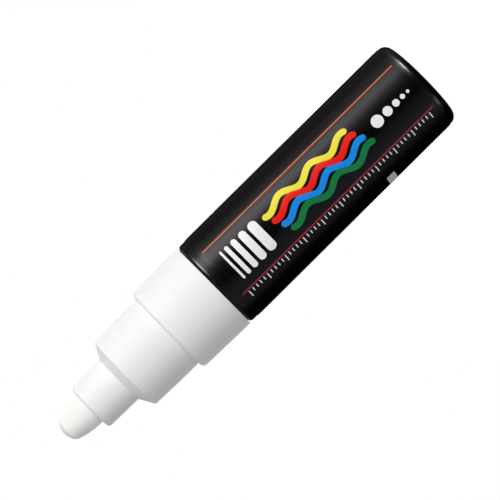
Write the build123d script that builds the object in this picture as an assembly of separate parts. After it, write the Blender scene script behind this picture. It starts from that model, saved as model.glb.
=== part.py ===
from build123d import *
from math import cos, pi, radians, sin, sqrt
import os

# Paint marker, uncapped, standing on its base with the nib up.
# Millimetres. +Z runs up the axis to the nib, and the origin is the centre of the base.
# Pressing the nib pushes the valve stem off its seat, and paint runs to the nib.

# Printed film shrunk round the barrel
film_radius = 10.5
film_thickness = 0.13
film_margin = 2.15

# Barrel: a moulded bottle that holds the paint
barrel_length = 58.4
barrel_wall = 1.3
base_thickness = 1.8
base_round = 1.8
base_recess_radius = 6.0
base_recess_depth = 0.4
floor_round = 1.0
shoulder_round = 1.0
shoulder_ledge = 1.42
shoulder_thickness = 1.4
neck_wall = 1.2

# Snap ring on the neck, and the groove that it clicks into
snap_height = 0.3
snap_width = 1.2
snap_rise = 4.0
snap_clearance = 0.06

# Front collar: skirt over the neck, seat for the cap, cone and nose
skirt_length = 12.95
skirt_wall = 1.46
skirt_draft = 0.27
skirt_round = 1.05
collar_roof = 1.1
step_width = 1.35
seat_length = 11.8
seat_land = 5.0
seat_draft = 0.2
seat_wall = 1.6
cone_height = 1.8
cone_round = 0.55
cone_wall = 0.7
nose_wall = 1.6
nose_length = 8.1
nose_draft = 0.12
nose_round = 0.7
nose_root_round = 0.3
rib_count = 6
rib_thickness = 1.0
rib_length = 6.2
rib_root = 0.4

# Nib: a bullet of bonded fibre that stands on the valve stem
nib_radius = 3.7
nib_length = 25.4
nib_clearance = 0.1
nib_tip_radius = 4.2
nib_tip_turn = 27.0
nib_cheek_radius = 1.9
nib_cheek_turn = 44.0
nib_tail_chamfer = 0.3

# Valve seat: a flanged plug clamped between the collar and the neck
neck_gasket_thickness = 1.0
flange_thickness = 1.4
flange_clearance = 0.15
plug_clearance = 0.1
plug_wall = 1.2
plug_length = 7.0
lip_inset = 0.6
lip_width = 0.4
lip_height = 0.3

# Valve stem, and the rubber washer on its head
stem_radius = 1.9
stem_stand = 4.65
stem_clearance = 0.2
fin_thickness = 0.8
washer_thickness = 0.9
washer_margin = 0.1
head_radius = 3.3
head_thickness = 1.2
pin_clearance = 0.5
pin_hole_clearance = 0.2
pin_reach = 0.5

# Valve spring
spring_radius = 2.5
spring_height = 7.9
spring_turns = 6
wire_radius = 0.3
gap_points_per_turn = 24

# Valve cage: the cup under the valve that holds the spring
cage_clearance = 0.05
cage_wall = 1.1
cage_overlap = 3.5
cage_floor = 1.2
clip_height = 0.25
clip_width = 1.0
window_count = 4
window_width = 3.2
window_margin = 0.4

# Mixing balls, loose in the paint
ball_radius = 3.0
ball_gap = 0.4
ball_lift = 0.05

# Every cut runs past the face that it opens by this much
overrun = 1.0

# Radii that follow, from the outside in
barrel_radius = film_radius - film_thickness
reservoir_radius = barrel_radius - barrel_wall
neck_radius = barrel_radius - shoulder_ledge
neck_bore = neck_radius - neck_wall
skirt_bore = neck_radius + snap_clearance
skirt_radius = skirt_bore + skirt_wall
step_radius = skirt_radius - skirt_draft
seat_radius = step_radius - step_width
seat_front_radius = seat_radius - seat_draft
chamber_radius = seat_front_radius - seat_wall
flange_radius = skirt_bore - flange_clearance
plug_radius = neck_bore - plug_clearance
plug_bore = plug_radius - plug_wall
cage_radius = plug_bore - cage_clearance
cage_bore = cage_radius - cage_wall

# Radii that follow from the stem, the spring and the nib
washer_radius = head_radius - washer_margin
stem_hole = stem_radius + stem_clearance
lip_radius = stem_hole + lip_inset
pin_radius = spring_radius - wire_radius - pin_clearance
pin_hole = pin_radius + pin_hole_clearance
nib_bore = nib_radius + nib_clearance
nose_radius = nib_bore + nose_wall
nose_root_radius = nose_radius + nose_draft

# Heights that follow, from the shoulder up and then from the seat down
step_z = barrel_length + skirt_length
flange_top = step_z - collar_roof
flange_z = flange_top - flange_thickness
neck_top = flange_z - neck_gasket_thickness
snap_z = barrel_length + snap_rise
seat_top = step_z + seat_length
nose_z = seat_top + cone_height
nose_front = nose_z + nose_length
nib_tail = flange_top + stem_stand
nib_tip = nib_tail + nib_length
chamber_top = seat_top - cone_wall
rib_z = chamber_top - rib_length
lip_z = flange_z - lip_height
head_top = lip_z - washer_thickness
head_z = head_top - head_thickness
spring_z = head_z - spring_height
cage_z = spring_z - cage_floor
plug_z = flange_z - plug_length
cage_top = plug_z + cage_overlap
clip_z = plug_z + cage_overlap / 2


def turned(*corners, rounds=()):
    """Turns a closed outline of (radius, height) corners round the Z axis, with some corners rounded."""
    face = Face(Wire(Polyline(*corners, close=True).edges()))
    for corner, radius in rounds:
        vertex = face.vertices().sort_by_distance((*corner, 0))[0]
        face = face.fillet_2d(radius, [vertex])
    return revolve(Plane.XZ * face, Axis.Z)


def tube(inner, outer, bottom, top):
    """A plain ring between two radii and two heights."""
    return turned((inner, bottom), (outer, bottom), (outer, top), (inner, top))


def rod(radius, bottom, top):
    """A plain round bar between two heights."""
    return Pos(0, 0, (bottom + top) / 2) * Cylinder(radius, top - bottom)


def ridge(radius, height, width, middle):
    """A ring of triangular section that stands out of a round wall, and reaches one height into it."""
    return turned(
        (radius - height, middle - width / 2),
        (radius, middle - width / 2),
        (radius + height, middle),
        (radius, middle + width / 2),
        (radius - height, middle + width / 2),
    )


def barrel():
    """Bottle with a recessed base, a rounded shoulder and a neck with a snap ring."""
    reservoir_top = barrel_length - shoulder_thickness
    bottle = turned(
        (0, base_recess_depth),
        (base_recess_radius, base_recess_depth),
        (base_recess_radius, 0),
        (barrel_radius, 0),
        (barrel_radius, barrel_length),
        (neck_radius, barrel_length),
        (neck_radius, neck_top),
        (neck_bore, neck_top),
        (neck_bore, reservoir_top),
        (reservoir_radius, reservoir_top - (reservoir_radius - neck_bore)),
        (reservoir_radius, base_thickness),
        (0, base_thickness),
        rounds=[
            ((barrel_radius, 0), base_round),
            ((barrel_radius, barrel_length), shoulder_round),
            ((reservoir_radius, base_thickness), floor_round),
        ],
    )
    return bottle + ridge(neck_radius, snap_height, snap_width, snap_z)


def barrel_film():
    """Printed sleeve on the barrel, short of both rounded ends."""
    return tube(barrel_radius, film_radius, film_margin, barrel_length - film_margin)


def front_collar():
    """One moulding: skirt over the neck, cap seat with a straight land, cone, nose and nib ribs."""
    shell = turned(
        (skirt_bore, barrel_length),
        (skirt_radius, barrel_length),
        (step_radius, step_z),
        (seat_radius, step_z),
        (seat_radius, step_z + seat_land),
        (seat_front_radius, seat_top),
        (nose_root_radius, nose_z),
        (nose_radius, nose_front),
        (nib_bore, nose_front),
        (nib_bore, chamber_top + cone_height),
        (chamber_radius, chamber_top),
        (chamber_radius, flange_top),
        (skirt_bore, flange_top),
        rounds=[
            ((step_radius, step_z), skirt_round),
            ((seat_front_radius, seat_top), cone_round),
            ((nose_root_radius, nose_z), nose_root_round),
            ((nose_radius, nose_front), nose_round),
        ],
    )
    shell -= ridge(skirt_bore, snap_height + snap_clearance, snap_width + snap_clearance, snap_z)
    rib_side = Polygon(
        (0, rib_z),
        (chamber_radius + rib_root, rib_z),
        (chamber_radius + rib_root, chamber_top),
        (nib_bore, chamber_top + cone_height),
        (0, chamber_top + cone_height),
        align=None,
    )
    rib = extrude(Plane.XZ * rib_side, rib_thickness / 2, both=True)
    ribs = Part() + [Rot(0, 0, turn * 360 / rib_count) * rib for turn in range(rib_count)]
    return shell + (ribs - rod(nib_bore, rib_z - overrun, nose_front))


def nib():
    """Bullet nib: a blunt tip, round cheeks and sides that ease into the straight shank."""
    side_turn = 90 - nib_tip_turn - nib_cheek_turn
    cheek_angle = radians(nib_tip_turn + nib_cheek_turn)
    cheek_out = sin(cheek_angle) - sin(radians(nib_tip_turn))
    side_start = nib_tip_radius * sin(radians(nib_tip_turn)) + nib_cheek_radius * cheek_out
    side_radius = (nib_radius - side_start) / (1 - sin(cheek_angle))
    tip = JernArc((0, nib_tip), (1, 0), nib_tip_radius, -nib_tip_turn)
    cheek = JernArc(tip @ 1, tip % 1, nib_cheek_radius, -nib_cheek_turn)
    side = JernArc(cheek @ 1, cheek % 1, side_radius, -side_turn)
    rest = Polyline(
        side @ 1,
        (nib_radius, nib_tail + nib_tail_chamfer),
        (nib_radius - nib_tail_chamfer, nib_tail),
        (0, nib_tail),
        tip @ 0,
    )
    outline = Wire([*tip.edges(), *cheek.edges(), *side.edges(), *rest.edges()])
    return revolve(Plane.XZ * Face(outline), Axis.Z)


def neck_gasket():
    """Flat sealing ring on the rim of the neck."""
    return tube(neck_bore, neck_radius, neck_top, flange_z)


def valve_seat():
    """Flanged plug: a disc with the stem's hole and a sealing lip, and a skirt that the cage clips into."""
    disc = tube(stem_hole, flange_radius, flange_z, flange_top)
    lip = tube(lip_radius - lip_width / 2, lip_radius + lip_width / 2, lip_z, flange_z)
    skirt = tube(plug_bore, plug_radius, plug_z, flange_z)
    groove = ridge(plug_bore, clip_height + cage_clearance, clip_width + cage_clearance, clip_z)
    return disc + lip + (skirt - groove)


def valve_cage():
    """Cup that clips into the valve seat, with windows for the paint and a hole that guides the stem."""
    cup = turned(
        (pin_hole, cage_z),
        (cage_radius, cage_z),
        (cage_radius, cage_top),
        (cage_bore, cage_top),
        (cage_bore, spring_z),
        (pin_hole, spring_z),
    )
    cup += ridge(cage_radius, clip_height, clip_width, clip_z)
    window_bottom = spring_z + window_margin
    window_top = plug_z - window_margin
    window_length = cage_radius + overrun
    window = Pos(window_length / 2, 0, (window_bottom + window_top) / 2) * Box(
        window_length, window_width, window_top - window_bottom
    )
    for turn in range(window_count):
        cup -= Rot(0, 0, turn * 360 / window_count) * window
    return cup


def valve_stem():
    """Stem from the nib's tail down through the seat: fins, boss for the washer, head and guide pin."""
    fins = Part()
    for turn in range(2):
        fins += Rot(0, 0, turn * 90) * Pos(0, 0, (lip_z + nib_tail) / 2) * Box(
            2 * stem_radius, fin_thickness, nib_tail - lip_z
        )
    fins &= rod(stem_radius, lip_z, nib_tail)
    boss = rod(stem_radius, head_top, lip_z)
    head = rod(head_radius, head_z, head_top)
    pin = rod(pin_radius, cage_z - pin_reach, head_z)
    return fins + boss + head + pin


def stem_washer():
    """Rubber washer that the spring presses against the sealing lip."""
    return tube(stem_radius, washer_radius, head_top, lip_z)


def biarc(start, start_way, end, end_way):
    """Two arcs that leave start and reach end in the given directions, and meet smoothly."""
    chord = end - start
    spread = 2 * (1 - start_way.dot(end_way))
    along = chord.dot(start_way + end_way)
    reach = (sqrt(along**2 + spread * chord.dot(chord)) - along) / spread
    joint = (start + end + (start_way - end_way) * reach) / 2
    first = TangentArc(start, joint, tangent=start_way)
    return [*first.edges(), *TangentArc(joint, end, tangent=first % 1).edges()]


def valve_spring():
    """Open coil spring with ground ends, between the floor of the cage and the head of the stem."""
    pitch = spring_height / spring_turns
    spans = 4 * spring_turns
    points = []
    ways = []
    for span in range(spans + 1):
        angle = 2 * pi * span / 4
        across = Vector(cos(angle), sin(angle), 0) * spring_radius
        points.append(across + Vector(0, 0, spring_z + pitch * span / 4))
        ways.append(Vector(-sin(angle), cos(angle), pitch / (2 * pi * spring_radius)).normalized())
    arcs = []
    for span in range(spans):
        arcs += biarc(points[span], ways[span], points[span + 1], ways[span + 1])
    path = Wire(arcs)
    coil = sweep(Plane(points[0], z_dir=ways[0]) * Circle(wire_radius), path)
    print("valve spring: least gap between turns", round(least_gap(path), 3))
    return coil & rod(spring_radius + wire_radius + overrun, spring_z, head_z)


def least_gap(path):
    """Least distance between the wire's surfaces at points half a turn or more apart along the spring."""
    steps = gap_points_per_turn * spring_turns
    points = [path @ (step / steps) for step in range(steps + 1)]
    half_turn = gap_points_per_turn // 2
    gaps = []
    for place, point in enumerate(points):
        gaps += [(other - point).length for other in points[place + half_turn:]]
    return min(gaps) - 2 * wire_radius


def mixing_ball(side):
    """Loose ball on the floor of the reservoir, on one side of the axis."""
    across = side * (ball_radius + ball_gap / 2)
    height = base_thickness + ball_radius + ball_lift
    return Pos(across, 0, height) * Sphere(ball_radius)


pieces = {
    "barrel": barrel(),
    "barrel_film": barrel_film(),
    "front_collar": front_collar(),
    "nib": nib(),
    "neck_gasket": neck_gasket(),
    "valve_seat": valve_seat(),
    "valve_cage": valve_cage(),
    "valve_stem": valve_stem(),
    "stem_washer": stem_washer(),
    "valve_spring": valve_spring(),
    "mixing_ball_left": mixing_ball(-1),
    "mixing_ball_right": mixing_ball(1),
}
os.makedirs("parts", exist_ok=True)
for name, piece in pieces.items():
    export_step(piece, f"parts/{name}.step")
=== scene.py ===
import math

import bmesh
import bpy
from mathutils import Matrix, Vector, noise


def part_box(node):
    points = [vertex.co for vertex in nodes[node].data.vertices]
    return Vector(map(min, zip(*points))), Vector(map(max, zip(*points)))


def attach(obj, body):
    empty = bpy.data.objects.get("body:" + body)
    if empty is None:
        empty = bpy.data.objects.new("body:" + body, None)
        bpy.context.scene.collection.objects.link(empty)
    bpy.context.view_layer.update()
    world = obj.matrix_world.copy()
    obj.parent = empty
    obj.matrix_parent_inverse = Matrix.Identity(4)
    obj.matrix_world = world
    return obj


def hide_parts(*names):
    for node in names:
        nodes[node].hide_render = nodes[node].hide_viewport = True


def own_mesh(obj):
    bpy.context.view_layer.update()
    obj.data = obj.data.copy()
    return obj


# An uncapped paint marker, standing on its base with the nib up.
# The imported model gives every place, so the scene only dresses it.
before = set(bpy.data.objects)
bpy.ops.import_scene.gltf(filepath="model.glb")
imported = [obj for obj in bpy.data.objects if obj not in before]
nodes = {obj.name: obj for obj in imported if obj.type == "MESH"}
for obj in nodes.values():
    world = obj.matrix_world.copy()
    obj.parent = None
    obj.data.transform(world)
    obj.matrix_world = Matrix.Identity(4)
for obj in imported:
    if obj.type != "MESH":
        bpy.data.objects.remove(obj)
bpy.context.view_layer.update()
mm = 0.001

# Camera: a long lens in front of the marker. It is rolled so that the marker lies across the
# picture, with the nib at the lower left and the base at the upper right.
picture_roll = math.radians(44.73)
camera_place = Vector((-0.00025, -0.616, 0.05922))
camera_aim = Vector((-0.00005, 0.0, 0.04822))
camera_sensor = 36.0
camera_lens = 222.0
forward = (camera_aim - camera_place).normalized()
right = Vector((-math.sin(picture_roll), 0.0, -math.cos(picture_roll)))
right = (right - forward * right.dot(forward)).normalized()
up = right.cross(forward)
camera = bpy.data.objects.new("camera", bpy.data.cameras.new("camera"))
camera.data.sensor_width = camera_sensor
camera.data.lens = camera_lens
camera.matrix_world = Matrix.Translation(camera_place) @ Matrix((right, up, -forward)).transposed().to_4x4()
bpy.context.collection.objects.link(camera)
bpy.context.scene.camera = camera


# Barrel: the black bottle that holds the paint, injection moulded in polypropylene.
# Only its rounded base and its shoulder show, past the two ends of the film.
def linear(colour):
    """Turns an sRGB hex colour into the linear colour that a shader takes, by the standard's own curve."""
    shares = [int(colour[place:place + 2], 16) / 255 for place in (1, 3, 5)]
    return (*(s / 12.92 if s <= 0.04045 else ((s + 0.055) / 1.055) ** 2.4 for s in shares), 1.0)


def add(tree, kind, inputs=None, **settings):
    """Adds a node with its settings, and sets or links its inputs by their names or numbers."""
    node = tree.nodes.new(kind)
    for name, value in settings.items():
        setattr(node, name, value)
    for name, value in (inputs or {}).items():
        if isinstance(value, bpy.types.NodeSocket):
            tree.links.new(value, node.inputs[name])
        else:
            node.inputs[name].default_value = value
    return node


def new_finish(name, values):
    """Starts a material: gives it, its tree and its shader, with the values that are the same all over."""
    material = bpy.data.materials.new(name)
    material.use_nodes = True
    shader = material.node_tree.nodes["Principled BSDF"]
    for socket, value in values.items():
        shader.inputs[socket].default_value = value
    return material, material.node_tree, shader


# Where a mix of colours takes its two colours, and where it gives the mixed one.
first_colour, second_colour, mixed_colour = 6, 7, 2


def vary(tree, shader, pattern, tints, roughness, depth=0.0, strength=0.0):
    """Lets a pattern run a finish between two tints and two roughnesses, and raise it by a depth."""
    tint = add(tree, "ShaderNodeMix", {
        "Factor": pattern, first_colour: linear(tints[0]), second_colour: linear(tints[1]),
    }, data_type="RGBA")
    tone = add(tree, "ShaderNodeMapRange", {"Value": pattern, "To Min": roughness[0], "To Max": roughness[1]})
    tree.links.new(tint.outputs[mixed_colour], shader.inputs["Base Color"])
    tree.links.new(tone.outputs["Result"], shader.inputs["Roughness"])
    if depth:
        relief = add(tree, "ShaderNodeBump", {"Height": pattern, "Strength": strength, "Distance": depth})
        tree.links.new(relief.outputs["Normal"], shader.inputs["Normal"])


def dress(node, material):
    """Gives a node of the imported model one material."""
    nodes[node].data.materials.clear()
    nodes[node].data.materials.append(material)


# Black polypropylene from a polished mould: deep black and glossy, with a soft orange-peel ripple.
ripple_width = 1.2 * mm
ripple_depth = 0.05 * mm
moulded_black, tree, shader = new_finish("moulded_black_polypropylene", {"IOR": 1.49})
where = add(tree, "ShaderNodeTexCoord").outputs["Object"]
ripple = add(tree, "ShaderNodeTexNoise", {"Vector": where, "Scale": 1 / ripple_width, "Detail": 2.0})
vary(tree, shader, ripple.outputs["Fac"], tints=("#050505", "#0A0A0B"), roughness=(0.2, 0.3),
     depth=ripple_depth, strength=0.05)
dress("barrel", moulded_black)

# Printed film: a thin black sleeve that is shrunk onto the barrel with heat.
# Its ends ease down to the barrel, and a glued lap runs down its back.
film_low, film_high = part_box("barrel_film")
film_radius = film_high[0]
film_wall = 0.13 * mm
film_inner = film_radius - film_wall
film_edge = 0.1 * mm
film_ease = 1.6 * mm
film_ease_steps = 6
film_turn_steps = 240
lap_turn = math.radians(17)
lap_ease = math.radians(4)
lap_rise = 0.05 * mm
sliver = 0.002 * mm
quad_corners = 4
sharp_turn = math.radians(40)
full_turn = 2 * math.pi


def film_outline():
    """The film's section as (radius, height) points: inner wall, thin end, outer wall, thin end."""
    shares = [step / film_ease_steps for step in range(film_ease_steps + 1)]
    edge_radius = film_inner + film_edge
    eased = [
        (edge_radius + (film_radius - edge_radius) * math.sin(full_turn / 4 * share), film_ease * share)
        for share in shares
    ]
    lower = [(radius, film_low[2] + inward) for radius, inward in eased]
    upper = [(radius, film_high[2] - inward) for radius, inward in reversed(eased)]
    return [(film_inner, film_high[2]), (film_inner, film_low[2]), *lower, *upper]


def lap_height(turn):
    """How far the film's outside is lifted where its edge laps over itself, by the turn from that edge."""
    ease = min(max((turn - lap_turn) / lap_ease, 0.0), 1.0)
    return lap_rise * (1 - ease * ease * (3 - 2 * ease))


def mesh_piece(name, mesh, material):
    """Puts a finished mesh into the scene as a piece, shaded smooth but for its sharp edges."""
    mesh.materials.clear()
    mesh.materials.append(material)
    mesh.shade_smooth()
    mesh.set_sharp_from_angle(angle=sharp_turn)
    piece = bpy.data.objects.new(name, mesh)
    bpy.context.collection.objects.link(piece)
    return piece


film_mesh = bpy.data.meshes.new("printed_film")
form = bmesh.new()
outline = film_outline()
columns = []
for step in range(film_turn_steps + 1):
    turn = full_turn * step / film_turn_steps
    lift = lap_height(turn) if step < film_turn_steps else 0.0
    way = Vector((math.sin(turn), math.cos(turn), 0.0))
    columns.append([
        form.verts.new(way * (radius + (lift if radius > film_inner else 0.0)) + Vector((0.0, 0.0, height)))
        for radius, height in outline
    ])
for left, other in zip(columns, columns[1:] + columns[:1]):
    for place in range(len(outline)):
        after = (place + 1) % len(outline)
        form.faces.new((left[place], left[after], other[after], other[place]))

# At the lap's two ends the seam leaves an empty triangle, which goes into the face beside it.
bmesh.ops.remove_doubles(form, verts=form.verts, dist=sliver)
for face in [face for face in form.faces if face.calc_area() < sliver * sliver]:
    bmesh.ops.dissolve_edges(form, edges=[max(face.edges, key=bmesh.types.BMEdge.calc_length)])
bmesh.ops.triangulate(form, faces=[face for face in form.faces if len(face.verts) > quad_corners])
bmesh.ops.recalc_face_normals(form, faces=form.faces)
form.to_mesh(film_mesh)
form.free()

# Gloss shrink film, printed black: a dark mirror with long, very shallow ripples left by the heat.
heat_ripple = 7.0 * mm
heat_depth = 0.1 * mm
heat_stretch_shares = (1.0, 1.0, 0.4)
gloss_film, tree, shader = new_finish("gloss_black_shrink_film", {"IOR": 1.5})
where = add(tree, "ShaderNodeTexCoord").outputs["Object"]
stretch = add(tree, "ShaderNodeMapping", {"Vector": where, "Scale": heat_stretch_shares})
waves = add(tree, "ShaderNodeTexNoise", {
    "Vector": stretch.outputs["Vector"], "Scale": 1 / heat_ripple, "Detail": 1.0,
})
vary(tree, shader, waves.outputs["Fac"], tints=("#030303", "#070708"), roughness=(0.23, 0.29),
     depth=heat_depth, strength=0.1)
film = mesh_piece("printed_film", film_mesh, gloss_film)
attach(film, "body")
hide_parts("barrel_film")

# Printing: solid inks on the film. Paint strokes, line and dot samples and a scale stand between and
# beside two pinstripes. One tree draws a flat mark, repeats it in a row, and wraps the row round the
# barrel as a thin coat.
ink_coat = 0.015 * mm
ink_sink = 0.01 * mm
ink_weld = 0.001 * mm
ink_radius = film_radius - ink_sink
mark_sizes = {
    "NodeSocketFloat": ("Length", "Height", "Corner", "Wave Height", "Wave Length", "Along", "Round",
                        "Step Along", "Radius", "Coat"),
    "NodeSocketInt": ("Columns", "Rows", "Count"),
    "NodeSocketMaterial": ("Ink",),
}
wrapped_mark = bpy.data.node_groups.new("wrapped_mark", "GeometryNodeTree")
for kind, names in mark_sizes.items():
    for name in names:
        wrapped_mark.interface.new_socket(name, in_out="INPUT", socket_type=kind)
wrapped_mark.interface.new_socket("Marks", in_out="OUTPUT", socket_type="NodeSocketGeometry")
given = add(wrapped_mark, "NodeGroupInput").outputs
point = add(wrapped_mark, "GeometryNodeInputPosition").outputs["Position"]
flat = add(wrapped_mark, "ShaderNodeSeparateXYZ", {"Vector": point}).outputs

# Each sum takes a size, a sum above it or a plain number. A row near the edge of a mark is shorter by
# its share of a quarter circle, which rounds the corners. A waved mark keeps its width, because its
# edges are set off square to its run. The last sums wrap a point of the row round the barrel.
mark_sums = {
    "half height": ("MULTIPLY", "Height", 0.5),
    "straight": ("SUBTRACT", "half height", "Corner"),
    "from middle": ("ABSOLUTE", "flat y"),
    "past straight": ("SUBTRACT", "from middle", "straight"),
    "into corner": ("MAXIMUM", "past straight", 0.0),
    "corner squared": ("POWER", "Corner", 2.0),
    "into corner squared": ("POWER", "into corner", 2.0),
    "chord squared": ("SUBTRACT", "corner squared", "into corner squared"),
    "real chord squared": ("MAXIMUM", "chord squared", 0.0),
    "chord": ("SQRT", "real chord squared"),
    "inset": ("SUBTRACT", "Corner", "chord"),
    "both insets": ("MULTIPLY", "inset", 2.0),
    "lost share": ("DIVIDE", "both insets", "Length"),
    "kept share": ("SUBTRACT", 1.0, "lost share"),
    "run": ("MULTIPLY", "flat x", "kept share"),
    "pace": ("DIVIDE", full_turn, "Wave Length"),
    "phase": ("MULTIPLY", "run", "pace"),
    "phase cosine": ("COSINE", "phase"),
    "steepest": ("MULTIPLY", "Wave Height", "pace"),
    "climb": ("MULTIPLY", "phase cosine", "steepest"),
    "climb squared": ("POWER", "climb", 2.0),
    "slope squared": ("ADD", "climb squared", 1.0),
    "slope": ("SQRT", "slope squared"),
    "set off": ("DIVIDE", "flat y", "slope"),
    "set back": ("MULTIPLY", "set off", "climb"),
    "across": ("SUBTRACT", "run", "set back"),
    "phase sine": ("SINE", "phase"),
    "swing": ("MULTIPLY", "phase sine", "Wave Height"),
    "rise": ("ADD", "set off", "swing"),
    "turn": ("DIVIDE", "flat y", "Radius"),
    "turn sine": ("SINE", "turn"),
    "turn cosine": ("COSINE", "turn"),
    "outward": ("MULTIPLY", "Radius", -1.0),
    "wrapped x": ("MULTIPLY", "turn sine", "outward"),
    "wrapped y": ("MULTIPLY", "turn cosine", "outward"),
}
known = {socket.name: socket for socket in given}
known["flat x"] = flat["X"]
known["flat y"] = flat["Y"]
for name, (operation, *terms) in mark_sums.items():
    inputs = {number: known.get(term, term) for number, term in enumerate(terms)}
    known[name] = add(wrapped_mark, "ShaderNodeMath", inputs, operation=operation).outputs["Value"]

sheet = add(wrapped_mark, "GeometryNodeMeshGrid", {
    "Size X": given["Length"], "Size Y": given["Height"],
    "Vertices X": given["Columns"], "Vertices Y": given["Rows"],
})
shape = add(wrapped_mark, "ShaderNodeCombineXYZ", {"X": known["across"], "Y": known["rise"]})
drawn = add(wrapped_mark, "GeometryNodeSetPosition", {
    "Geometry": sheet.outputs["Mesh"], "Position": shape.outputs["Vector"],
})
start = add(wrapped_mark, "ShaderNodeCombineXYZ", {"X": given["Along"], "Y": given["Round"]})
pitch = add(wrapped_mark, "ShaderNodeCombineXYZ", {"X": given["Step Along"]})
row = add(wrapped_mark, "GeometryNodeMeshLine", {
    "Count": given["Count"], "Start Location": start.outputs["Vector"], "Offset": pitch.outputs["Vector"],
}, mode="OFFSET")
placed = add(wrapped_mark, "GeometryNodeInstanceOnPoints", {
    "Points": row.outputs["Mesh"], "Instance": drawn.outputs["Geometry"],
})
real = add(wrapped_mark, "GeometryNodeRealizeInstances", {"Geometry": placed.outputs["Instances"]})
bend = add(wrapped_mark, "ShaderNodeCombineXYZ", {
    "X": known["wrapped x"], "Y": known["wrapped y"], "Z": flat["X"],
})
wrapped = add(wrapped_mark, "GeometryNodeSetPosition", {
    "Geometry": real.outputs["Geometry"], "Position": bend.outputs["Vector"],
})

# The ink gets its coat, and is closed on the underside.
coat = add(wrapped_mark, "GeometryNodeExtrudeMesh", {
    "Mesh": wrapped.outputs["Geometry"], "Offset Scale": given["Coat"], "Individual": False,
})
under = add(wrapped_mark, "GeometryNodeFlipFaces", {"Mesh": wrapped.outputs["Geometry"]})
both = add(wrapped_mark, "GeometryNodeJoinGeometry")
wrapped_mark.links.new(coat.outputs["Mesh"], both.inputs["Geometry"])
wrapped_mark.links.new(under.outputs["Mesh"], both.inputs["Geometry"])
whole = add(wrapped_mark, "GeometryNodeMergeByDistance", {
    "Geometry": both.outputs["Geometry"], "Distance": ink_weld,
})
inked = add(wrapped_mark, "GeometryNodeSetMaterial", {
    "Geometry": whole.outputs["Geometry"], "Material": given["Ink"],
})
add(wrapped_mark, "NodeGroupOutput", {"Marks": inked.outputs["Geometry"]})


def grown(name, tree, sizes):
    """Runs a tree with the given sizes and keeps what it grows as a plain mesh."""
    seed = bpy.data.objects.new(name, bpy.data.meshes.new(name))
    bpy.context.collection.objects.link(seed)
    modifier = seed.modifiers.new(name, "NODES")
    modifier.node_group = tree
    for item in tree.interface.items_tree:
        if item.in_out == "INPUT" and item.name in sizes:
            modifier[item.identifier] = sizes[item.name]
    mesh = bpy.data.meshes.new_from_object(seed.evaluated_get(bpy.context.evaluated_depsgraph_get()))
    bpy.data.objects.remove(seed)
    return mesh


# Solid ink under the film's gloss: an even colour with a faint mottle, as flexo printing leaves.
mottle_width = 0.5 * mm
mottle_shade_shares = (0.94, 1.0)
ink_roughness = (0.2, 0.28)
ink_colours = {
    "white": "#FDFDFD", "red": "#F80A05", "blue": "#0490F4", "green": "#058044",
    "yellow": "#FBEC2E", "orange": "#D2622F", "crimson": "#B4262F", "grey": "#DCDCE2",
}
inks = {}
for name, colour in ink_colours.items():
    inks[name], tree, shader = new_finish(f"{name}_printing_ink", {"IOR": 1.5})
    where = add(tree, "ShaderNodeTexCoord").outputs["Object"]
    mottle = add(tree, "ShaderNodeTexNoise", {"Vector": where, "Scale": 1 / mottle_width, "Detail": 3.0})
    shade = add(tree, "ShaderNodeMapRange", {
        "Value": mottle.outputs["Fac"], "To Min": mottle_shade_shares[0], "To Max": mottle_shade_shares[1],
    })
    tone = add(tree, "ShaderNodeMapRange", {
        "Value": mottle.outputs["Fac"], "To Min": ink_roughness[0], "To Max": ink_roughness[1],
    })
    tint = add(tree, "ShaderNodeMix", {
        "Factor": 1.0, first_colour: linear(colour), second_colour: shade.outputs["Result"],
    }, data_type="RGBA", blend_type="MULTIPLY")
    tree.links.new(tint.outputs[mixed_colour], shader.inputs["Base Color"])
    tree.links.new(tone.outputs["Result"], shader.inputs["Roughness"])


def mark(name, ink, length, height, along, turn, corner=0.0, wave=0.0, wave_length=mm, columns=2, rows=5,
         count=1, step_along=0.0):
    """Prints a row of like marks: the length lies along the barrel, and the height and the turn round it."""
    mesh = grown(name, wrapped_mark, {
        "Length": length, "Height": height, "Corner": corner, "Wave Height": wave, "Wave Length": wave_length,
        "Along": along, "Round": turn * ink_radius, "Step Along": step_along, "Radius": ink_radius,
        "Coat": ink_coat + ink_sink, "Columns": columns, "Rows": rows, "Count": count, "Ink": inks[ink],
    })
    piece = mesh_piece(name, mesh, inks[ink])
    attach(piece, "body")


# Two pinstripes run the length of the film.
stripe_length = 52.6 * mm
stripe_middle = 29.2 * mm
upper_stripe_width = 0.34 * mm
upper_stripe_turn = math.radians(-35.6)
lower_stripe_width = 0.3 * mm
lower_stripe_turn = math.radians(30.1)
mark("upper_pinstripe", "orange", stripe_length, upper_stripe_width, stripe_middle, upper_stripe_turn)
mark("lower_pinstripe", "crimson", stripe_length, lower_stripe_width, stripe_middle, lower_stripe_turn)

# Four paint strokes lie side by side, each a little further back than the one before.
panel_turn = math.radians(-1.7)
stroke_colours = ("yellow", "red", "blue", "green")
stroke_length = 24.0 * mm
stroke_width = 1.35 * mm
stroke_corner = 0.66 * mm
stroke_wave = 0.8 * mm
stroke_wave_length = 8.4 * mm
stroke_middle = 29.0 * mm
stroke_lag = 0.9 * mm
stroke_pitch = math.radians(9.8)
for place, colour in enumerate(stroke_colours):
    step = place - (len(stroke_colours) - 1) / 2
    mark(f"paint_stroke_{place + 1}", colour, stroke_length, stroke_width, stroke_middle - step * stroke_lag,
         panel_turn + step * stroke_pitch, corner=stroke_corner, wave=stroke_wave,
         wave_length=stroke_wave_length, columns=145, rows=17)

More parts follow.
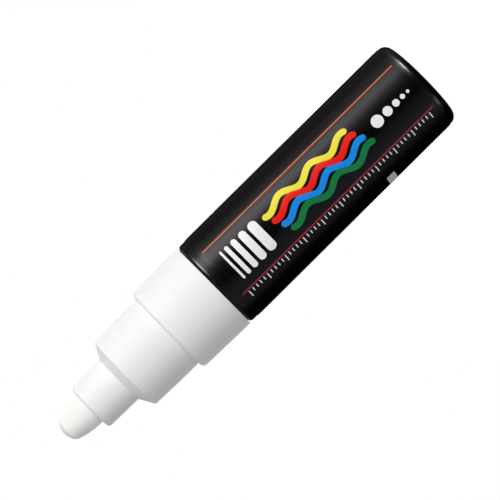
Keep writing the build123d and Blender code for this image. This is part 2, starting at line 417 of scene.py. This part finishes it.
# Line samples cross the front of the panel, and dot samples run to its rear.
sample_corner_share = 0.49
sample_grid = {"columns": 5, "rows": 37}
line_widths = (0.5 * mm, 0.9 * mm, 1.3 * mm, 1.7 * mm, 2.1 * mm)
line_reach = 7.4 * mm
line_gap = 0.75 * mm
front = 53.2 * mm
for place, width in enumerate(line_widths):
    mark(f"line_sample_{place + 1}", "white", width, line_reach, front - width / 2, panel_turn,
         corner=width * sample_corner_share, **sample_grid)
    front -= width + line_gap
dot_widths = (2.6 * mm, 2.0 * mm, 1.5 * mm, 1.05 * mm, 0.7 * mm)
dot_gap = 0.55 * mm
front = 14.1 * mm
for place, width in enumerate(dot_widths):
    mark(f"dot_sample_{place + 1}", "white", width, width, front - width / 2, panel_turn,
         corner=width * sample_corner_share, **sample_grid)
    front -= width + dot_gap

# A scale hangs from the lower pinstripe: one row of long ticks, and four rows of short ones between them.
tick_width = 0.24 * mm
long_tick = 1.6 * mm
short_tick = 0.9 * mm
tick_pitch = 1.0 * mm
tick_start = 4.2 * mm
tick_turn = math.radians(32.5)
ticks_per_long = 5
long_ticks = 11
for place in range(ticks_per_long):
    reach = short_tick if place else long_tick
    mark(f"scale_ticks_{place + 1}", "white", tick_width, reach, tick_start + place * tick_pitch,
         tick_turn + reach / 2 / film_radius, count=long_ticks - 1 if place else long_ticks,
         step_along=ticks_per_long * tick_pitch)

# A grey patch stands alone beside the scale.
patch_length = 2.1 * mm
patch_height = 4.1 * mm
patch_corner = 0.2 * mm
patch_middle = 18.05 * mm
patch_turn = math.radians(70.5)
mark("grey_patch", "grey", patch_length, patch_height, patch_middle, patch_turn, corner=patch_corner,
     columns=5, rows=25)

# Front collar: one white polypropylene moulding that snaps over the neck of the barrel.
# Its skirt, cap seat, cone and nose show the even satin of a finely etched mould.
etch_width = 0.3 * mm
etch_depth = 0.02 * mm
scatter_depth = 0.8 * mm
scatter_shares = (1.0, 0.95, 0.9)
satin_white, tree, shader = new_finish("satin_white_polypropylene", {
    "IOR": 1.49, "Subsurface Weight": 0.12,
    "Subsurface Radius": scatter_shares, "Subsurface Scale": scatter_depth,
})
where = add(tree, "ShaderNodeTexCoord").outputs["Object"]
etch = add(tree, "ShaderNodeTexNoise", {"Vector": where, "Scale": 1 / etch_width, "Detail": 3.0})
vary(tree, shader, etch.outputs["Fac"], tints=("#F1F1F1", "#F6F6F6"), roughness=(0.54, 0.64),
     depth=etch_depth, strength=0.06)
dress("front_collar", satin_white)

# Nib: a bullet of white polyester fibres, bonded with resin and ground to its round tip.
# The fibres run along it and are cut at the tip, so its surface is matt and slightly rough.
nib_low, nib_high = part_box("nib")
nib_radius = nib_high[0]
nib_tip = nib_high[2]
nib_tail = nib_low[2]
nib_arcs = ((4.2 * mm, 27.0), (1.9 * mm, 44.0))
nib_side_turn = 90.0
nib_arc_steps = 14
nib_shank_steps = 40
nib_turn_steps = 180
tail_chamfer = 0.3 * mm
fibre_width = 0.16 * mm
fibre_length = 1.4 * mm
fibre_relief = 0.012 * mm


def nib_outline():
    """The nib's side as (radius, height) points from the tip to the tail: three arcs, then the shank."""
    points = [Vector((0.0, nib_tip))]
    turned = 0.0
    arcs = list(nib_arcs)
    reached = sum(
        size * (math.sin(math.radians(start + turn)) - math.sin(math.radians(start)))
        for (size, turn), start in zip(nib_arcs, (0.0, nib_arcs[0][1]))
    )
    start = sum(turn for size, turn in nib_arcs)
    arcs.append(((nib_radius - reached) / (1 - math.sin(math.radians(start))), nib_side_turn - start))
    for size, turn in arcs:
        base = points[-1]
        for step in range(1, nib_arc_steps + 1):
            angle = math.radians(turned + turn * step / nib_arc_steps)
            out = math.sin(angle) - math.sin(math.radians(turned))
            down = math.cos(math.radians(turned)) - math.cos(angle)
            points.append(base + Vector((size * out, -size * down)))
        turned += turn
    top = points[-1].y
    for step in range(1, nib_shank_steps + 1):
        points.append(Vector((nib_radius, top + (nib_tail + tail_chamfer - top) * step / nib_shank_steps)))
    points.append(Vector((nib_radius - tail_chamfer, nib_tail)))
    return points


nib_mesh = bpy.data.meshes.new("fibre_nib")
form = bmesh.new()
rings = []
for point in nib_outline()[1:]:
    ring = []
    for step in range(nib_turn_steps):
        turn = full_turn * step / nib_turn_steps
        place = Vector((point.x * math.cos(turn), point.x * math.sin(turn), point.y))
        grain = noise.noise(Vector((place.x / fibre_width, place.y / fibre_width, place.z / fibre_length)))
        inward = fibre_relief * (1 + grain) / 2
        ring.append(form.verts.new(place - Vector((math.cos(turn), math.sin(turn), 0.0)) * inward))
    rings.append(ring)
for upper, lower in zip(rings, rings[1:]):
    for step in range(nib_turn_steps):
        after = (step + 1) % nib_turn_steps
        form.faces.new((upper[step], lower[step], lower[after], upper[after]))
tip = form.verts.new((0.0, 0.0, nib_tip))
tail = form.verts.new((0.0, 0.0, nib_tail))
for step in range(nib_turn_steps):
    after = (step + 1) % nib_turn_steps
    form.faces.new((tip, rings[0][step], rings[0][after]))
    form.faces.new((tail, rings[-1][after], rings[-1][step]))
form.to_mesh(nib_mesh)
form.free()

# Bonded polyester fibre: matt white with a soft sheen. The fibres are about 0.03 mm thick, too fine
# to show, so the grain is drawn five times as coarse.
fibre_depth = 0.03 * mm
bonded_fibre, tree, shader = new_finish("bonded_polyester_fibre", {
    "IOR": 1.45, "Sheen Weight": 0.06, "Sheen Roughness": 0.5,
})
where = add(tree, "ShaderNodeTexCoord").outputs["Object"]
run = add(tree, "ShaderNodeMapping", {"Vector": where, "Scale": (1.0, 1.0, fibre_width / fibre_length)})
fibres = add(tree, "ShaderNodeTexNoise", {
    "Vector": run.outputs["Vector"], "Scale": 1 / fibre_width, "Detail": 4.0,
})
vary(tree, shader, fibres.outputs["Fac"], tints=("#F8F8F7", "#FEFEFD"), roughness=(0.75, 0.95),
     depth=fibre_depth, strength=0.25)
nib = mesh_piece("fibre_nib", nib_mesh, bonded_fibre)
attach(nib, "nib")
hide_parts("nib")

# Valve: seat, cage and stem, moulded in natural polypropylene and clipped together in the neck.
# Unpigmented, the plastic is milky, and light goes a little way into it.
cloud_width = 2.0 * mm
milky_depth = 1.5 * mm
milky_shares = (1.0, 1.0, 0.9)
natural_plastic, tree, shader = new_finish("natural_polypropylene", {
    "IOR": 1.49, "Subsurface Weight": 0.4,
    "Subsurface Radius": milky_shares, "Subsurface Scale": milky_depth,
})
where = add(tree, "ShaderNodeTexCoord").outputs["Object"]
cloud = add(tree, "ShaderNodeTexNoise", {"Vector": where, "Scale": 1 / cloud_width, "Detail": 2.0})
vary(tree, shader, cloud.outputs["Fac"], tints=("#DADDDB", "#E8EAE8"), roughness=(0.3, 0.4))
for node in ("valve_seat", "valve_cage", "valve_stem"):
    dress(node, natural_plastic)

# Seals: the neck gasket and the washer on the stem, stamped from black nitrile rubber sheet.
# The sheet's talc leaves it dull, with a fine grain.
talc_width = 0.25 * mm
talc_depth = 0.02 * mm
nitrile_rubber, tree, shader = new_finish("nitrile_rubber", {"IOR": 1.52})
where = add(tree, "ShaderNodeTexCoord").outputs["Object"]
talc = add(tree, "ShaderNodeTexNoise", {"Vector": where, "Scale": 1 / talc_width, "Detail": 4.0})
vary(tree, shader, talc.outputs["Fac"], tints=("#161617", "#2A2A2B"), roughness=(0.6, 0.8),
     depth=talc_depth, strength=0.2)
for node in ("neck_gasket", "stem_washer"):
    dress(node, nitrile_rubber)

# Valve spring: drawn stainless wire, wound on a mandrel and ground flat at both ends.
# It stands in the cage. In the marker it shortens as the stem is pushed down; here it is wound at the
# imported spring's height and fixed to the body.
spring_low, spring_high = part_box("valve_spring")
spring_height = spring_high[2] - spring_low[2]
spring_turns = 6
spring_radius = 2.5 * mm
wire_radius = 0.3 * mm
points_per_turn = 48
wire_sides = 14
coil = bpy.data.node_groups.new("wound_wire", "GeometryNodeTree")
for name in ("Turns", "Radius", "Height", "Wire Radius", "Bottom"):
    coil.interface.new_socket(name, in_out="INPUT", socket_type="NodeSocketFloat")
coil.interface.new_socket("Wire", in_out="INPUT", socket_type="NodeSocketMaterial")
coil.interface.new_socket("Spring", in_out="OUTPUT", socket_type="NodeSocketGeometry")
given = add(coil, "NodeGroupInput").outputs
wind = add(coil, "GeometryNodeCurveSpiral", {
    "Resolution": points_per_turn, "Rotations": given["Turns"], "Start Radius": given["Radius"],
    "End Radius": given["Radius"], "Height": given["Height"],
})
wire = add(coil, "GeometryNodeCurvePrimitiveCircle", {
    "Resolution": wire_sides, "Radius": given["Wire Radius"],
})
drawn = add(coil, "GeometryNodeCurveToMesh", {
    "Curve": wind.outputs["Curve"], "Profile Curve": wire.outputs["Curve"], "Fill Caps": True,
})
stand = add(coil, "ShaderNodeCombineXYZ", {"Z": given["Bottom"]})
lifted = add(coil, "GeometryNodeTransform", {
    "Geometry": drawn.outputs["Mesh"], "Translation": stand.outputs["Vector"],
})
real = add(coil, "GeometryNodeRealizeInstances", {"Geometry": lifted.outputs["Geometry"]})
steel = add(coil, "GeometryNodeSetMaterial", {
    "Geometry": real.outputs["Geometry"], "Material": given["Wire"],
})
add(coil, "NodeGroupOutput", {"Spring": steel.outputs["Geometry"]})

# Drawn stainless wire: bright metal with fine lines along it from the die.
die_line = 0.08 * mm
spring_wire, tree, shader = new_finish("drawn_stainless_wire", {"Metallic": 1.0})
where = add(tree, "ShaderNodeTexCoord").outputs["Object"]
drawing = add(tree, "ShaderNodeTexNoise", {"Vector": where, "Scale": 1 / die_line, "Detail": 2.0})
vary(tree, shader, drawing.outputs["Fac"], tints=("#A9AAAC", "#C3C4C6"), roughness=(0.2, 0.35))
spring_mesh = grown("wound_spring", coil, {
    "Turns": float(spring_turns), "Radius": spring_radius, "Height": spring_height,
    "Wire Radius": wire_radius, "Bottom": spring_low[2], "Wire": spring_wire,
})
form = bmesh.new()
form.from_mesh(spring_mesh)
for height, way in ((spring_low[2], -1.0), (spring_high[2], 1.0)):
    cut = bmesh.ops.bisect_plane(
        form, geom=form.verts[:] + form.edges[:] + form.faces[:], plane_co=(0.0, 0.0, height),
        plane_no=(0.0, 0.0, way), clear_outer=True,
    )
    rim = [part for part in cut["geom_cut"] if isinstance(part, bmesh.types.BMEdge)]
    bmesh.ops.holes_fill(form, edges=rim)
bmesh.ops.dissolve_degenerate(form, dist=sliver, edges=form.edges)
bmesh.ops.triangulate(form, faces=form.faces)
bmesh.ops.recalc_face_normals(form, faces=form.faces)
form.to_mesh(spring_mesh)
form.free()
spring = mesh_piece("wound_spring", spring_mesh, spring_wire)
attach(spring, "body")
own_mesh(spring)
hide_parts("valve_spring")

# Mixing balls: two loose bearing balls that stir the paint when the marker is shaken.
# Lapped chrome steel, with a light film of paint haze.
haze_width = 1.5 * mm
lapped_steel, tree, shader = new_finish("lapped_chrome_steel", {"Metallic": 1.0})
where = add(tree, "ShaderNodeTexCoord").outputs["Object"]
haze = add(tree, "ShaderNodeTexNoise", {"Vector": where, "Scale": 1 / haze_width, "Detail": 3.0})
vary(tree, shader, haze.outputs["Fac"], tints=("#BFC1C4", "#CFD1D3"), roughness=(0.05, 0.2))
for node in ("mixing_ball_left", "mixing_ball_right"):
    dress(node, lapped_steel)

# Floor: a plain pale disc under the marker. The camera sees it as white with a soft shadow on it,
# and near the marker so do polished and clear surfaces. From below it can't be seen.
floor_radius = 0.6
floor_sides = 96
floor_drop = 0.02 * mm
floor_spot = (0.016, -0.012, 0.0)
floor_near = 0.002
floor_far = 0.012
floor_glow = 0.85
floor_mesh = bpy.data.meshes.new("floor")
form = bmesh.new()
bmesh.ops.create_circle(form, cap_ends=True, segments=floor_sides, radius=floor_radius,
                        matrix=Matrix.Translation((0.0, 0.0, -floor_drop)))
form.to_mesh(floor_mesh)
form.free()
floor = bpy.data.objects.new("floor", floor_mesh)
bpy.context.collection.objects.link(floor)
floor_sums = {
    "glossy": ("ADD", "Is Glossy Ray", "Is Transmission Ray"),
    "mirrored": ("MULTIPLY", "glossy", "near"),
    "seen": ("ADD", "Is Camera Ray", "mirrored"),
    "glow": ("MULTIPLY", "seen", floor_glow),
    "not mirrored": ("SUBTRACT", "glossy", "mirrored"),
    "let through": ("ADD", "not mirrored", "Is Shadow Ray"),
    "seen from below": ("MULTIPLY", "Is Camera Ray", "below"),
    "clear": ("ADD", "let through", "seen from below"),
}
pale_floor = bpy.data.materials.new("pale_floor")
pale_floor.use_nodes = True
tree = pale_floor.node_tree
tree.nodes.clear()
where = add(tree, "ShaderNodeTexCoord").outputs["Object"]
away = add(tree, "ShaderNodeVectorMath", {0: where, 1: floor_spot}, operation="DISTANCE")
near = add(tree, "ShaderNodeMapRange", {
    "Value": away.outputs["Value"], "From Min": floor_near, "From Max": floor_far,
    "To Min": 1.0, "To Max": 0.0,
})
known = {socket.name: socket for socket in add(tree, "ShaderNodeLightPath").outputs}
known["near"] = near.outputs["Result"]
known["below"] = add(tree, "ShaderNodeNewGeometry").outputs["Backfacing"]
for name, (operation, *terms) in floor_sums.items():
    inputs = {number: known.get(term, term) for number, term in enumerate(terms)}
    known[name] = add(tree, "ShaderNodeMath", inputs, operation=operation, use_clamp=True).outputs["Value"]
paper = add(tree, "ShaderNodeBsdfDiffuse", {"Color": linear("#C8C8C8")})
light = add(tree, "ShaderNodeEmission", {"Color": linear("#FFFFFF"), "Strength": known["glow"]})
both = add(tree, "ShaderNodeAddShader", {0: paper.outputs[0], 1: light.outputs[0]})
gone = add(tree, "ShaderNodeBsdfTransparent")
shown = add(tree, "ShaderNodeMixShader", {0: known["clear"], 1: both.outputs[0], 2: gone.outputs[0]})
add(tree, "ShaderNodeOutputMaterial", {"Surface": shown.outputs[0]})
floor_mesh.materials.append(pale_floor)

# Studio light: area lamps aimed at the middle of the marker. Banks light it from all sides and above,
# most of all from its left. Cards show only in its gloss: the rear card in the film's, and the two
# strips in that of the barrel's ends.
lamp_aim = Vector((0.0, 0.0, 0.05))
lamp_distance = 0.5


def lamp(name, power, turn, rise, width, height, spread, colour="#FFFFFF", lights=True, mirrored=True,
         only=None):
    """Hangs a soft lamp: turned from the camera towards +X, and raised, in degrees; sizes in metres."""
    turn = math.radians(turn)
    rise = math.radians(rise)
    way = Vector((math.sin(turn) * math.cos(rise), -math.cos(turn) * math.cos(rise), math.sin(rise)))
    light = bpy.data.lights.new(name, "AREA")
    light.shape = "RECTANGLE"
    light.size = width
    light.size_y = height
    light.energy = power
    light.spread = math.radians(spread)
    light.color = linear(colour)[:3]
    holder = bpy.data.objects.new(name, light)
    holder.location = lamp_aim + way * lamp_distance
    holder.rotation_euler = way.to_track_quat("Z", "Y").to_euler()
    holder.visible_camera = False
    holder.visible_diffuse = lights
    holder.visible_glossy = mirrored
    bpy.context.collection.objects.link(holder)
    if only:
        lit = bpy.data.collections.new(name)
        lit.objects.link(only)
        holder.light_linking.receiver_collection = lit


bank = {"width": 0.4, "height": 0.4, "spread": 150, "mirrored": False}
lamp("main_bank", 1.365, turn=40, rise=0, colour="#FFFCF6", **bank)
lamp("lens_bank", 0.2, turn=0, rise=0, **bank)
lamp("right_bank", 0.04, turn=-60, rise=0, colour="#DDE6FF", **bank)
lamp("left_back_bank", 0.8, turn=135, rise=0, **bank)
lamp("right_back_bank", 1.0, turn=-155, rise=0, **bank)
lamp("top_bank", 0.15, turn=30, rise=80, **bank)
lamp("key_card", 1.4, turn=56, rise=21.5, width=0.6, height=0.8, spread=60, colour="#FDFBFF", lights=False)
lamp("side_card", 0.06, turn=90, rise=5, width=0.14, height=0.8, spread=150, lights=False)
lamp("fill_card", 0.19, turn=-55, rise=10, width=0.8, height=0.8, spread=110, colour="#F4F1FF", lights=False)
lamp("back_card", 0.045, turn=122, rise=5, width=0.5, height=0.8, spread=120, lights=False)
lamp("low_key_card", 0.45, turn=60, rise=-30, width=0.25, height=0.2, spread=150, lights=False)
lamp("low_right_card", 0.14, turn=-62, rise=-30, width=0.15, height=0.2, spread=150, lights=False)
lamp("rear_card", 0.6, turn=180, rise=-12, width=0.12, height=0.5, spread=150, lights=False, only=film)
strip = {"height": 0.05, "spread": 120, "lights": False, "only": nodes["barrel"]}
lamp("upper_strip", 0.36, turn=54, rise=27, width=0.28, **strip)
lamp("lower_strip", 0.95, turn=58, rise=-31, width=0.26, **strip)

# Room: white where the lens looks. Matt surfaces get a low even light from it. In a reflection only
# the backdrop straight behind the marker is white, and the rest of the room is dark.
room_light = 0.36
backdrop_edge = math.cos(math.radians(16))
backdrop_full = math.cos(math.radians(8))
backdrop_way = (0.0, 1.0, 0.0)
room_sums = {
    "glossy": ("ADD", "Is Glossy Ray", "Is Transmission Ray"),
    "mirrored": ("MULTIPLY", "glossy", "backdrop"),
    "seen": ("ADD", "Is Camera Ray", "mirrored"),
    "soft": ("MULTIPLY", "Is Diffuse Ray", room_light),
    "total": ("ADD", "seen", "soft"),
}
world = bpy.data.worlds.new("room")
world.use_nodes = True
bpy.context.scene.world = world
tree = world.node_tree
tree.nodes.clear()
way = add(tree, "ShaderNodeTexCoord").outputs["Generated"]
behind = add(tree, "ShaderNodeVectorMath", {0: way, 1: backdrop_way}, operation="DOT_PRODUCT")
backdrop = add(tree, "ShaderNodeMapRange", {
    "Value": behind.outputs["Value"], "From Min": backdrop_edge, "From Max": backdrop_full,
})
known = {socket.name: socket for socket in add(tree, "ShaderNodeLightPath").outputs}
known["backdrop"] = backdrop.outputs["Result"]
for name, (operation, *terms) in room_sums.items():
    inputs = {number: known.get(term, term) for number, term in enumerate(terms)}
    known[name] = add(tree, "ShaderNodeMath", inputs, operation=operation).outputs["Value"]
tint = add(tree, "ShaderNodeMix", {
    "Factor": known["Is Diffuse Ray"], first_colour: linear("#FFFFFF"), second_colour: linear("#F9FBFF"),
}, data_type="RGBA")
room = add(tree, "ShaderNodeBackground", {"Color": tint.outputs[mixed_colour], "Strength": known["total"]})
add(tree, "ShaderNodeOutputWorld", {"Surface": room.outputs[0]})
world.cycles.sampling_method = "NONE"
bpy.context.scene.view_settings.view_transform = "Standard"
